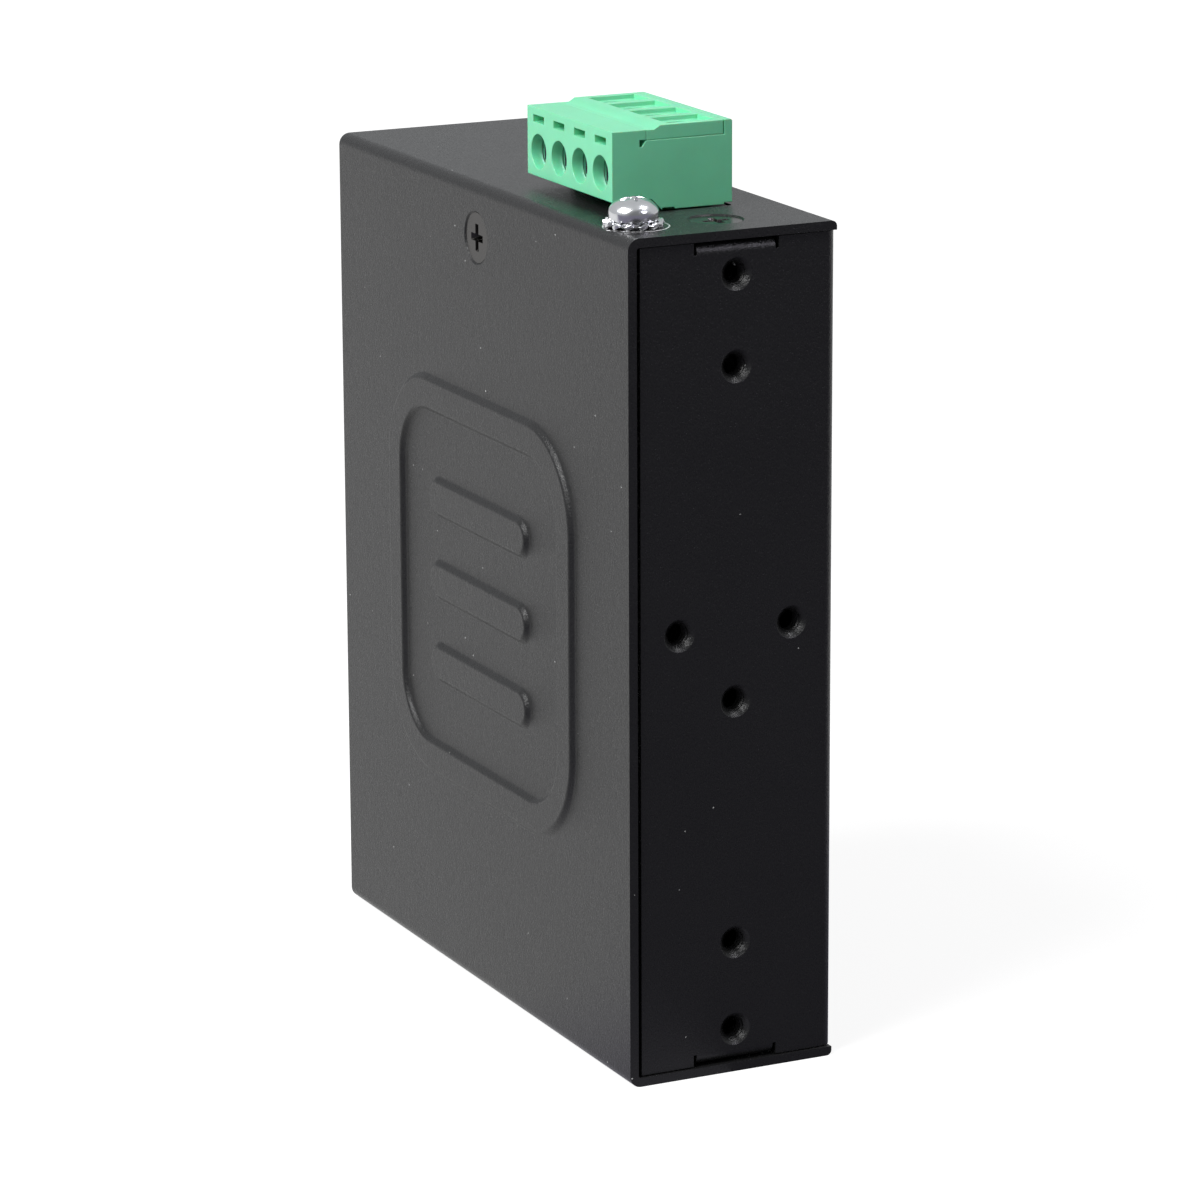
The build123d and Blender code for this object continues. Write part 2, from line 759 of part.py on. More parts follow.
# Plug housing: its section along the row of poles, then the holes and chambers of each pole
with BuildPart() as plug_housing:
    with BuildSketch(Plane.XZ.offset(-plug_y)):
        with BuildLine():
            shelf_x = header_x + entry_shelf
            Polyline(
                (plug_front_x, plug_floor + entry_lift), (plug_front_x, plug_top), (cap_front_x, plug_top),
                (cap_front_x, cap_seat), (cap_rear_x, cap_seat), (cap_rear_x, cap_top),
                (plug_rear_x + cap_corner, cap_top), (plug_rear_x, cap_top - cap_corner),
                (plug_rear_x, plug_floor), (shelf_x, plug_floor),
                (shelf_x + entry_lift, plug_floor + entry_lift), close=True,
            )
        make_face()
    extrude(amount=plug_length / 2, both=True)
    with BuildSketch(Plane.XY.offset(plug_floor)):
        with Locations((header_x, plug_y)):
            Rectangle(2 * (cavity_x - insert_fit), 2 * (cavity_y - insert_fit))
    extrude(amount=-insert_reach)
    with BuildSketch(Plane.XZ.offset(-plug_y)):
        underside_x = (shelf_x + pin_x) / 2 + pin_size
        with Locations((underside_x, plug_floor), (plug_rear_x + foot_notch, plug_floor)):
            Rectangle(shelf_x - pin_x - 2 * pin_size, 2 * foot_notch)
    extrude(amount=plug_length, both=True, mode=Mode.SUBTRACT)
    with BuildSketch(Plane.YZ.offset(plug_front_x)):
        with Locations(*[(y, plug_floor + wire_rise) for y in pole_rows]):
            Circle(wire_radius)
    extrude(amount=-entry_wall, mode=Mode.SUBTRACT)
    with BuildSketch(Plane.YZ.offset(plug_front_x)):
        with Locations(*[(y, plug_floor + slot_rise) for y in pole_rows]):
            Rectangle(slot_width, slot_height)
    extrude(amount=-slot_depth, mode=Mode.SUBTRACT)
    with BuildSketch(Plane.XY.offset(chamber_floor)):
        with Locations(*[((chamber_front_x + chamber_rear_x) / 2, y) for y in pole_rows]):
            Rectangle(chamber_front_x - chamber_rear_x, chamber_width)
    extrude(amount=chamber_height, mode=Mode.SUBTRACT)
    with BuildSketch(Plane.XY.offset(cap_seat)):
        with Locations(*[(screw_x, y) for y in pole_rows]):
            Circle(bore_radius)
    extrude(amount=chamber_roof - cap_seat, mode=Mode.SUBTRACT)
    with BuildSketch(Plane.XY.offset(chamber_floor)):
        with Locations(*[(pin_x, y) for y in pole_rows]):
            Rectangle(sleeve_width + 2 * clamp_fit, sleeve_width + 2 * clamp_fit)
    extrude(amount=plug_floor - insert_reach - chamber_floor, mode=Mode.SUBTRACT)
    with BuildSketch(Plane.XZ.offset(-plug_y)):
        with BuildLine():
            notch_x = cap_front_x + notch_length
            Polyline(
                (cap_front_x, cap_seat), (cap_front_x, cap_seat + notch_slit), (notch_x, cap_seat + notch_slit),
                (notch_x, cap_seat - notch_depth), (notch_x - notch_heel, cap_seat - notch_depth), close=True,
            )
        make_face()
    extrude(amount=plug_length, both=True, mode=Mode.SUBTRACT)
plug_housing.part.label = "plug_housing"
export_step(plug_housing.part, "parts/plug_housing.step")

# Cap that snaps over the housing, with a pocket and a bore over each clamp screw
with BuildPart() as plug_cap:
    with BuildSketch(Plane.XZ.offset(-plug_y)):
        with BuildLine():
            Polyline(
                (cap_front_x - cap_fit, cap_seat), (cap_front_x - cap_fit, plug_top),
                (cap_front_x - cap_shelf, plug_top), (cap_front_x - cap_shelf - cap_slope, cap_top),
                (cap_rear_x + cap_fit, cap_top), (cap_rear_x + cap_fit, cap_seat), close=True,
            )
        make_face()
    extrude(amount=plug_length / 2, both=True)
    chamfer(plug_cap.edges().filter_by(Axis.X).group_by(Axis.Z)[0], length=cap_edge)
    chamfer(plug_cap.edges().filter_by(Axis.Z).group_by(Axis.X)[0], length=cap_corner)
    with BuildSketch(Plane.XY.offset(cap_top)):
        with Locations(*[(screw_x, y) for y in pole_rows]):
            Rectangle(pocket_length, pocket_width)
    extrude(amount=-pocket_depth, mode=Mode.SUBTRACT)
    with BuildSketch(Plane.XY.offset(cap_seat)):
        with Locations(*[(screw_x, y) for y in pole_rows]):
            Circle(bore_radius)
    extrude(amount=cap_top - cap_seat, mode=Mode.SUBTRACT)
plug_cap.part.label = "plug_cap"
export_step(plug_cap.part, "parts/plug_cap.step")

# Wire clamps: a cage for each pole with its screw, over the strip of the plug socket
clamp_length = chamber_front_x - chamber_rear_x - 2 * clamp_fit
clamp_x = (chamber_front_x + chamber_rear_x) / 2
clamp_low = chamber_floor + strip_thickness
clamp_high = chamber_roof - clamp_fit
clamp_width = chamber_width - 2 * clamp_fit
with BuildPart() as wire_clamps:
    with BuildSketch(Plane.YZ.offset(clamp_x)):
        with Locations(*[(y, (clamp_low + clamp_high) / 2) for y in pole_rows]):
            clamp_height = clamp_high - clamp_low
            Rectangle(clamp_width, clamp_height)
            Rectangle(clamp_width - 2 * clamp_wall, clamp_height - 2 * clamp_wall, mode=Mode.SUBTRACT)
    extrude(amount=clamp_length / 2, both=True)
    with BuildSketch(Plane.XY.offset(clamp_high)):
        with Locations(*[(screw_x, y) for y in pole_rows]):
            Circle(tapped_radius)
    extrude(amount=-clamp_wall, mode=Mode.SUBTRACT)
wire_clamps.part.label = "wire_clamps"
export_step(wire_clamps.part, "parts/wire_clamps.step")

clamp_head_z = cap_top - pocket_depth - clamp_head_drop
with BuildPart() as clamp_screws:
    with BuildSketch(Plane.XY.offset(clamp_head_z)):
        with Locations(*[(screw_x, y) for y in pole_rows]):
            Circle(clamp_head_radius)
    extrude(amount=-clamp_head_height)
    with BuildSketch(Plane.XY.offset(clamp_head_z)):
        with Locations(*[(screw_x, y) for y in pole_rows]):
            Circle(tapped_radius - thread_gap)
    extrude(amount=-clamp_screw_length)
    with BuildSketch(Plane.XY.offset(clamp_head_z)):
        with Locations(*[(screw_x, y) for y in pole_rows]):
            Rectangle(2 * clamp_head_radius, driver_slot, rotation=driver_turn)
    extrude(amount=-driver_slot, mode=Mode.SUBTRACT)
clamp_screws.part.label = "clamp_screws"
export_step(clamp_screws.part, "parts/clamp_screws.step")

# Plug sockets: a sleeve round each header pin, with the strip that the wire is pressed on
sleeve_low = plug_floor - insert_reach + sleeve_setback
with BuildPart() as plug_sockets:
    with BuildSketch(Plane.XY.offset(sleeve_low)):
        with Locations(*[(pin_x, y) for y in pole_rows]):
            Rectangle(sleeve_width, sleeve_width)
            Rectangle(sleeve_width - 2 * sleeve_wall, sleeve_width - 2 * sleeve_wall, mode=Mode.SUBTRACT)
    extrude(amount=chamber_floor - sleeve_low)
    with BuildSketch(Plane.XY.offset(chamber_floor)):
        with Locations(*[(clamp_x, y) for y in pole_rows]):
            Rectangle(clamp_length, strip_width)
    extrude(amount=strip_thickness)
plug_sockets.part.label = "plug_sockets"
export_step(plug_sockets.part, "parts/plug_sockets.step")

# Chips and magnetics: moulded blocks with their upright edges broken
with BuildPart() as switch_chip:
    with BuildSketch(board_face):
        with Locations((chip_y, middle_z)):
            Rectangle(chip_size, chip_size)
    extrude(amount=chip_height)
    chamfer(switch_chip.edges().filter_by(Axis.X), length=chip_corner)
switch_chip.part.label = "switch_chip"
export_step(switch_chip.part, "parts/switch_chip.step")

with BuildPart() as line_transformers:
    with BuildSketch(board_face):
        with Locations(*[(transformer_y, z) for z in port_heights]):
            Rectangle(transformer_depth, transformer_width)
    extrude(amount=transformer_height)
line_transformers.part.label = "line_transformers"
export_step(line_transformers.part, "parts/line_transformers.step")

with BuildPart() as crystal:
    with BuildSketch(board_face):
        with Locations((crystal_y, middle_z + crystal_rise)):
            SlotOverall(crystal_length, crystal_width)
    extrude(amount=crystal_height)
crystal.part.label = "crystal"
export_step(crystal.part, "parts/crystal.step")

with BuildPart() as memory_chip:
    with BuildSketch(board_face):
        with Locations((crystal_y, middle_z - memory_drop)):
            Rectangle(memory_length, memory_width)
    extrude(amount=memory_height)
memory_chip.part.label = "memory_chip"
export_step(memory_chip.part, "parts/memory_chip.step")

# Power supply
capacitor_spots = [
    (capacitor_y + (row - (capacitor_count - 1) / 2) * capacitor_pitch, board_high - capacitor_drop)
    for row in range(capacitor_count)
]
with BuildPart() as capacitors:
    with BuildSketch(board_face):
        with Locations(*capacitor_spots):
            Circle(capacitor_radius)
    extrude(amount=capacitor_height)
    fillet(capacitors.edges().group_by(Axis.X)[-1], radius=capacitor_groove)
capacitors.part.label = "capacitors"
export_step(capacitors.part, "parts/capacitors.step")

coil_spots = [(plug_y + end * inductor_pitch / 2, inductor_z) for end in ends]
with BuildPart() as inductors:
    with BuildSketch(board_face):
        with Locations(*coil_spots):
            RectangleRounded(inductor_size, inductor_size, inductor_corner)
    extrude(amount=inductor_height)
    with BuildSketch(board_face.offset(inductor_height)):
        with Locations(*coil_spots):
            Circle(inductor_hub)
    extrude(amount=-inductor_hollow, mode=Mode.SUBTRACT)
inductors.part.label = "inductors"
export_step(inductors.part, "parts/inductors.step")

with BuildPart() as converter_chips:
    with BuildSketch(board_face):
        with Locations(*[(y, converter_z) for y, z in coil_spots]):
            Rectangle(converter_length, converter_width)
    extrude(amount=converter_height)
converter_chips.part.label = "converter_chips"
export_step(converter_chips.part, "parts/converter_chips.step")

with BuildPart() as fuses:
    with BuildSketch(board_face):
        with Locations(*[(plug_y + end * pole_pitch, board_high - fuse_drop) for end in ends]):
            Rectangle(fuse_length, fuse_width)
    extrude(amount=fuse_height)
fuses.part.label = "fuses"
export_step(fuses.part, "parts/fuses.step")

with BuildPart() as surge_diodes:
    with BuildSketch(board_face):
        surge_rows = [board_high - fuse_drop + row * surge_pitch for row in range(surge_count)]
        with Locations(*[(surge_y, z) for z in surge_rows]):
            Rectangle(surge_length, surge_width)
    extrude(amount=surge_height)
surge_diodes.part.label = "surge_diodes"
export_step(surge_diodes.part, "parts/surge_diodes.step")
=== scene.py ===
"""Finishes, threads, fine hardware detail, studio and camera for the industrial ethernet switch.

Metres, in the part's own frame: ports towards -Y, rail side towards +Y, pressed side towards +X.
"""

import json
import math

import bmesh
import bpy
from bpy.props import FloatProperty, FloatVectorProperty, IntProperty, PointerProperty
from mathutils import Matrix, Vector


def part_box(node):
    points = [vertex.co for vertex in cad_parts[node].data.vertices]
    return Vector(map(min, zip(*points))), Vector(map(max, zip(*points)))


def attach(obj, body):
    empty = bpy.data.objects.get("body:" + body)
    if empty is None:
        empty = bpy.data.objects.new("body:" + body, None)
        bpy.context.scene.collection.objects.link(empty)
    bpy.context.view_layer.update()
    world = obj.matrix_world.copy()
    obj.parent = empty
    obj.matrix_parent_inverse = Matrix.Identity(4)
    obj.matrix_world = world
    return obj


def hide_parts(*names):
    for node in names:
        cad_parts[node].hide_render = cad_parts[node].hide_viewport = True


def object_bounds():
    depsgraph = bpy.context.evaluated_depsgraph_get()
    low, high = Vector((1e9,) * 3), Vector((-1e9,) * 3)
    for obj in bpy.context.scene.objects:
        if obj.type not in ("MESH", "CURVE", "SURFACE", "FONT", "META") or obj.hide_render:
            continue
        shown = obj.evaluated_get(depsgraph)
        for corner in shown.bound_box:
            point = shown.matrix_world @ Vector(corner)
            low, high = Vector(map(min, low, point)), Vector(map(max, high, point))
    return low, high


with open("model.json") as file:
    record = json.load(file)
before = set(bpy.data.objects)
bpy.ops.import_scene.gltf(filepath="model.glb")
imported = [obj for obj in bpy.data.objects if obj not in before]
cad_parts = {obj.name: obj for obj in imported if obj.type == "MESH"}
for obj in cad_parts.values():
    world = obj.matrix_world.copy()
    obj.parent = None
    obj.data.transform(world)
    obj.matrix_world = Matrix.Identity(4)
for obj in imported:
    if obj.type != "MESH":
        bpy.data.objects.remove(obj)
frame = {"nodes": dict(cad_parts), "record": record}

bl_info = {
    "name": "Industrial Switch Looks",
    "version": (1, 0, 0),
    "blender": (4, 5, 0),
    "location": "View3D > Sidebar > Switch",
    "description": "Finishes and studio for a slim industrial ethernet switch",
    "category": "Object",
}

BODY = "root"
MM = 0.001
PORTS = range(1, 6)
cad_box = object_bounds()

# Meshes
MERGE_REACH = 0.001 * MM
FLAT_ANGLE = math.radians(0.4)
EDGE_ANGLE = math.radians(32)
FLAT_FACE_WEIGHT = 80
THREAD_FOOT = 0.02 * MM
THREAD_FLANK = 0.42

# Powder coat: how its height, colour and gloss vary
GRAIN_SHARE = 0.7
GRAIN_ROUGHNESS = 0.65
COAT_CLOUD = 9 * MM
COAT_TONES = (0.86, 1.14)
COAT_GLOSS_SPREAD = 0.24
SPECK_GRAIN = 0.1 * MM
SPECK_WOBBLE = 0.02
SPECK_FREE_SHARE = 0.4

# Unpainted disc under the ground screw: bare steel darkened as painted shadow of the washer, edged
# by a thin rim painted bright as a highlight, with gaps
BARE_FRAY = 0.15 * MM
BARE_SOFT = 0.1 * MM
BARE_SHADOW_TONE = 0.12
BARE_ROUGHNESS = 0.34
HIGHLIGHT_RIM_WIDTH = 0.14 * MM
HIGHLIGHT_RIM_SOFT = 0.08 * MM
HIGHLIGHT_RIM_HAZE = 0.7
HIGHLIGHT_GAP_SIZE = 0.7 * MM
HIGHLIGHT_GAP_BAND = (0.36, 0.46)

# Metals: size and depth of their grain, and how far stains and streaks change tone and gloss
METAL_GRAIN = 0.12 * MM
FINE_METAL_GRAIN = 0.1 * MM
FAINT_DEPTH = 0.004 * MM
SCREW_GRAIN_DEPTH = 0.006 * MM
DRAWN_SHEET = (1.0, 0.08, 1.0)
STREAK_ROUGHNESS = 0.6
STAIN_SIZE = 2.5 * MM
STAIN_TONE = 0.88
STAIN_GLOSS = 0.12
STREAK_GLOSS = 0.08
METAL_GLOSS_SHIFT = 0.1

# Plastics: size and depth of their grain, flow clouds, rounded edges and haze
PLASTIC_GRAIN = (0.16 * MM, 0.006 * MM)
PACKAGE_GRAIN = (0.12 * MM, 0.01 * MM)
FERRITE_GRAIN = (0.25 * MM, 0.03 * MM)
PLASTIC_GRAIN_ROUGHNESS = 0.55
FLOW_SIZE = 3.5 * MM
FLOW_TONES = (0.93, 1.06)
PLASTIC_GLOSS_SPREAD = 0.12
SPREAD_DEPTH = 1.2 * MM
MOULDED_EDGE = 0.12 * MM
LENS_EDGE = 0.1 * MM
EDGE_SAMPLES = 6
LENS_INDEX = 1.49
LENS_ROUGHNESS = 0.12
HAZE_SIZE = 0.8 * MM
HAZE_TONE = 0.9
HAZE_GLOSS = 0.08

# Circuit board: half the share of the pitch that a trace takes, and which blocks run which way
TRACE_SHARE = 0.22
LANE_BLOCKS = 0.62
CROSS_BLOCKS = 0.3
BLOCK_SIZE = 5.5 * MM
VIA_SPACING = 2.6 * MM
VIA_SHARE = 0.11
TRACE_HEIGHT = 0.03 * MM
BOARD_ROUGHNESS = 0.32
LACQUER_SIZE = 0.4 * MM
LACQUER_GLOSS = 0.08

# Capacitor: depth of its bare top, its grain and gloss
CAN_TOP = 0.35 * MM
CAN_GRAIN = 0.3 * MM
CAN_ROUGHNESS = 0.34
CAN_GLOSS = 0.1

# Lights: place and width in metres, colour, and whether they light matt surfaces
LIGHTS = {
    "key": ((0.55, 0.10, 0.62), 0.5, (1.0, 1.0, 1.0), True),
    "fill": ((-0.32, 0.62, 0.44), 0.18, (0.90, 0.92, 1.0), True),
    "glint": ((-0.32, 0.60, 0.46), 0.18, (0.90, 0.86, 1.0), False),
    "top": ((-0.31, 0.18, 0.70), 0.18, (0.97, 0.97, 1.0), True),
}

# Floor: it turns white between these distances from the part
WHITE_BAND = (0.25, 0.9)

# Reflected surroundings: they darken across these bands of Y, and in a strip beside the part that
# is a painted shadow of the part on the floor
FLOOR_SHADE_BAND = (0.0, 0.08)
FLOOR_SHADE_SLANT = 0.25
FLOOR_SHADOW_BAND = (-0.12, -0.05)
FLOOR_SHADE_TINT = (0.94, 0.89, 1.17)
SKY_SHADE_BAND = (0.3, 0.8)
SKY_TINT = (0.96, 0.98, 1.0)

# Camera: nearest and farthest distance that it shows
CLIP_RANGE = (0.01, 20.0)


# Shader sockets and finishes

class Socket:
    """One output of a node. Arithmetic and comparison on it add Math nodes."""

    def __init__(self, finish, socket):
        self.finish = finish
        self.socket = socket

    def math(self, operation, *terms):
        return self.finish.node("ShaderNodeMath", {"operation": operation}, dict(enumerate(terms)))

    def __add__(self, other):
        return self.math("ADD", self, other)

    def __radd__(self, other):
        return self.math("ADD", other, self)

    def __sub__(self, other):
        return self.math("SUBTRACT", self, other)

    def __rsub__(self, other):
        return self.math("SUBTRACT", other, self)

    def __mul__(self, other):
        return self.math("MULTIPLY", self, other)

    def __rmul__(self, other):
        return self.math("MULTIPLY", other, self)

    def __truediv__(self, other):
        return self.math("DIVIDE", self, other)

    def __lt__(self, other):
        return self.math("LESS_THAN", self, other)

    def __gt__(self, other):
        return self.math("GREATER_THAN", self, other)

    def __abs__(self):
        return self.math("ABSOLUTE", self)

    def fraction(self):
        return self.math("FRACT", self)

    def larger(self, other):
        return self.math("MAXIMUM", self, other)

    def smaller(self, other):
        return self.math("MINIMUM", self, other)


class Finish:
    """A node tree being made. node() adds any node and returns one of its outputs."""

    def __init__(self, tree):
        self.tree = tree
        tree.nodes.clear()

    def node(self, kind, settings=None, values=None, out=0):
        made = self.tree.nodes.new(kind)
        for name, value in (settings or {}).items():
            setattr(made, name, value)
        for name, value in (values or {}).items():
            if isinstance(value, Socket):
                self.tree.links.new(value.socket, made.inputs[name])
            else:
                made.inputs[name].default_value = value
        return Socket(self, made.outputs[out]) if len(made.outputs) else None

    def place(self):
        """Object coordinates, which are the part's own frame in metres."""
        return self.node("ShaderNodeTexCoord", out="Object")

    def axes(self, place=None):
        split = self.node("ShaderNodeSeparateXYZ", None, {0: place or self.place()})
        return [Socket(self, output) for output in split.socket.node.outputs]

    def noise(self, size, detail=3.0, roughness=0.5, place=None):
        """Noise whose features are about size metres across, from 0 to 1."""
        values = {"Vector": place or self.place(), "Scale": 1 / size}
        values |= {"Detail": detail, "Roughness": roughness}
        return self.node("ShaderNodeTexNoise", None, values)

    def cells(self, size, out="Distance"):
        """Cells about size metres apart: the distance to a cell's point, or its own colour."""
        values = {"Vector": self.place(), "Scale": 1 / size}
        return self.node("ShaderNodeTexVoronoi", None, values, out)

    def stretched(self, scale):
        """The place with its axes scaled, for grain that runs one way."""
        settings = {"operation": "MULTIPLY"}
        return self.node("ShaderNodeVectorMath", settings, {0: self.place(), 1: scale})

    def between(self, value, low, high):
        """0 below low, 1 above high, smooth between."""
        return self.node(
            "ShaderNodeMapRange", {"interpolation_type": "SMOOTHSTEP"},
            {0: value, 1: low, 2: high, 3: 0.0, 4: 1.0},
        )

    def distance(self, centre):
        """Metres from centre, a point of the part's own frame."""
        settings = {"operation": "DISTANCE"}
        return self.node("ShaderNodeVectorMath", settings, {0: self.place(), 1: centre}, "Value")

    def first_channel(self, color):
        """The first channel of a colour, as a number from 0 to 1."""
        return self.node("ShaderNodeSeparateColor", None, {0: color})

    def blend(self, mask, first, second):
        """First where the mask is 0, second where it is 1."""
        return self.node("ShaderNodeMix", {"data_type": "RGBA"}, {0: mask, 6: first, 7: second}, 2)

    def bump(self, height, depth, normal=None):
        """A normal from a height between 0 and 1 that stands for depth metres."""
        values = {"Height": height, "Distance": depth, "Strength": 1.0}
        if normal:
            values["Normal"] = normal
        return self.node("ShaderNodeBump", None, values)

    def rounded(self, radius):
        """A normal that breaks sharp edges by radius."""
        return self.node("ShaderNodeBevel", {"samples": EDGE_SAMPLES}, {"Radius": radius})

    def surface(self, values):
        body = self.node("ShaderNodeBsdfPrincipled", None, values)
        self.node("ShaderNodeOutputMaterial", None, {"Surface": body})


def rgba(color):
    """A colour with its alpha, from a grey level or three channels."""
    return (color, color, color, 1.0) if isinstance(color, float) else (*color, 1.0)


def scaled(color, factor):
    return tuple(channel * factor for channel in color)


def new_material(name):
    material = bpy.data.materials.new(name)
    material.use_nodes = True
    return material, Finish(material.node_tree)


def powder_coat(name, looks, bare_spot=None):
    """Fine-grained coat with a few bright dust specks; bare_spot is a disc left unpainted,
    darkened as painted shadow of the washer and edged by a painted highlight.
    """
    material, finish = new_material(name)
    grain = finish.noise(looks.grain_size, roughness=GRAIN_ROUGHNESS)
    peel = finish.noise(looks.peel_size, detail=1.0)
    height = grain * GRAIN_SHARE + peel * (1 - GRAIN_SHARE)
    cell = finish.cells(looks.speck_spacing)
    cell = cell + finish.noise(SPECK_GRAIN, detail=1.0) * SPECK_WOBBLE
    chosen = finish.first_channel(finish.cells(looks.speck_spacing, "Color")) > SPECK_FREE_SHARE
    speck = (cell < looks.speck_size / looks.speck_spacing + SPECK_WOBBLE / 2) * chosen
    tones = [rgba(scaled(looks.coat_color, factor)) for factor in COAT_TONES]
    tone = finish.blend(finish.noise(COAT_CLOUD), *tones)
    color = finish.blend(speck, tone, rgba(looks.speck_color))
    roughness = looks.coat_roughness + grain * COAT_GLOSS_SPREAD - COAT_GLOSS_SPREAD / 2
    values = {"Metallic": 0.0, "Specular IOR Level": looks.coat_gloss}
    if bare_spot:
        centre, radius = bare_spot
        reach = finish.distance(centre) + grain * BARE_FRAY
        bare = 1 - finish.between(reach, radius, radius + BARE_SOFT)
        # Thin rim at the edge of the bare disc, painted bright as a highlight and broken by gaps
        rim_highlight = finish.between(reach, radius - HIGHLIGHT_RIM_WIDTH, radius - HIGHLIGHT_RIM_WIDTH + HIGHLIGHT_RIM_SOFT) * bare
        rim_highlight = rim_highlight * finish.between(finish.noise(HIGHLIGHT_GAP_SIZE, detail=1.0), *HIGHLIGHT_GAP_BAND)
        # Painted shadow of the washer darkens the bare disc; the rim gets the full bright colour
        # as a painted highlight
        color = finish.blend(bare, color, rgba(scaled(looks.bare_steel_and_highlight_color, BARE_SHADOW_TONE)))
        color = finish.blend(rim_highlight, color, rgba(looks.bare_steel_and_highlight_color))
        roughness = roughness * (1 - bare) + bare * BARE_ROUGHNESS
        # The rim is less metallic, so the painted highlight shows as a bright line
        values["Metallic"] = bare - rim_highlight * HIGHLIGHT_RIM_HAZE
    values["Base Color"] = color
    values["Roughness"] = roughness
    values["Normal"] = finish.bump(height, looks.grain_depth)
    finish.surface(values)
    return material


def plated(name, color, roughness, grain=METAL_GRAIN, depth=FAINT_DEPTH, streaks=(1.0, 1.0, 1.0)):
    """Plated or bare metal with fine streaks along one way and soft stains."""
    material, finish = new_material(name)
    fine = finish.noise(grain, 2.0, STREAK_ROUGHNESS, finish.stretched(streaks))
    cloud = finish.noise(STAIN_SIZE, detail=2.0)
    finish.surface({
        "Base Color": finish.blend(cloud, rgba(scaled(color, STAIN_TONE)), rgba(color)),
        "Metallic": 1.0,
        "Roughness": roughness + cloud * STAIN_GLOSS + fine * STREAK_GLOSS - METAL_GLOSS_SHIFT,
        "Normal": finish.bump(fine, depth),
    })
    return material


def moulded(name, color, roughness, grain=PLASTIC_GRAIN, spread=0.0, gloss=0.5):
    """Moulded plastic with flow clouds and softened edges; grain is its size and its depth."""
    material, finish = new_material(name)
    size, depth = grain
    fine = finish.noise(size, 2.0, PLASTIC_GRAIN_ROUGHNESS)
    tones = [rgba(scaled(color, factor)) for factor in FLOW_TONES]
    finish.surface({
        "Base Color": finish.blend(finish.noise(FLOW_SIZE, detail=2.0), *tones),
        "Roughness": roughness + fine * PLASTIC_GLOSS_SPREAD - PLASTIC_GLOSS_SPREAD / 2,
        "Specular IOR Level": gloss,
        "Subsurface Weight": spread,
        "Subsurface Scale": SPREAD_DEPTH,
        "Normal": finish.bump(fine, depth, finish.rounded(MOULDED_EDGE)),
    })
    return material


def clear_lens(name, color, clarity):
    """Tinted clear plastic with a faint haze in it."""
    material, finish = new_material(name)
    haze = finish.noise(HAZE_SIZE, detail=2.0)
    finish.surface({
        "Base Color": finish.blend(haze, rgba(color), rgba(scaled(color, HAZE_TONE))),
        "Transmission Weight": clarity,
        "IOR": LENS_INDEX,
        "Roughness": LENS_ROUGHNESS + haze * HAZE_GLOSS,
        "Normal": finish.bump(haze, FAINT_DEPTH, finish.rounded(LENS_EDGE)),
    })
    return material


def solder_mask(name, looks):
    """Circuit board: lacquer over a maze of traces, with tinned vias."""
    material, finish = new_material(name)
    x, y, z = finish.axes()
    across, lanes = (
        abs((way / looks.trace_pitch).fraction() - 0.5) < TRACE_SHARE for way in (y, z)
    )
    blocks = finish.first_channel(finish.cells(BLOCK_SIZE, "Color"))
    trace = lanes * (blocks > LANE_BLOCKS) + across * (blocks < CROSS_BLOCKS)
    via = finish.cells(VIA_SPACING) < VIA_SHARE
    # The mask colour is darkened as painted shade inside the case
    color = finish.blend(trace, rgba(looks.mask_color), rgba(looks.trace_color))
    color = finish.blend(via, color, rgba(looks.tin_color))
    finish.surface({
        "Base Color": color,
        "Metallic": via,
        "Roughness": BOARD_ROUGHNESS + finish.noise(LACQUER_SIZE) * LACQUER_GLOSS,
        "Normal": finish.bump(trace, TRACE_HEIGHT),
    })
    return material


def sleeved_can(name, looks):
    """Capacitor can: dark sleeve round the side, bare aluminium on top."""
    material, finish = new_material(name)
    x, y, z = finish.axes()
    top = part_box("capacitors")[1].x
    bare = x > top - CAN_TOP
    fine = finish.noise(CAN_GRAIN, detail=2.0)
    finish.surface({
        "Base Color": finish.blend(bare, rgba(looks.sleeve_color), rgba(looks.can_color)),
        "Metallic": bare,
        "Roughness": CAN_ROUGHNESS + fine * CAN_GLOSS,
        "Normal": finish.bump(fine, FAINT_DEPTH),
    })
    return material


# Mesh helpers

def placed(name, mesh, material, slot, *nodes):
    """A new piece of the object that rides on the body and stands for nodes, if any are named."""
    piece = bpy.data.objects.new(name, mesh)
    bpy.context.scene.collection.objects.link(piece)
    if material:
        mesh.materials.clear()
        mesh.materials.append(material)
    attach(piece, BODY)
    if nodes:
        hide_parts(*nodes)
    return piece


def finished(material, *nodes):
    """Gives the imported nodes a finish."""
    for node in nodes:
        slots = frame["nodes"][node].data.materials
        slots.clear()
        slots.append(material)


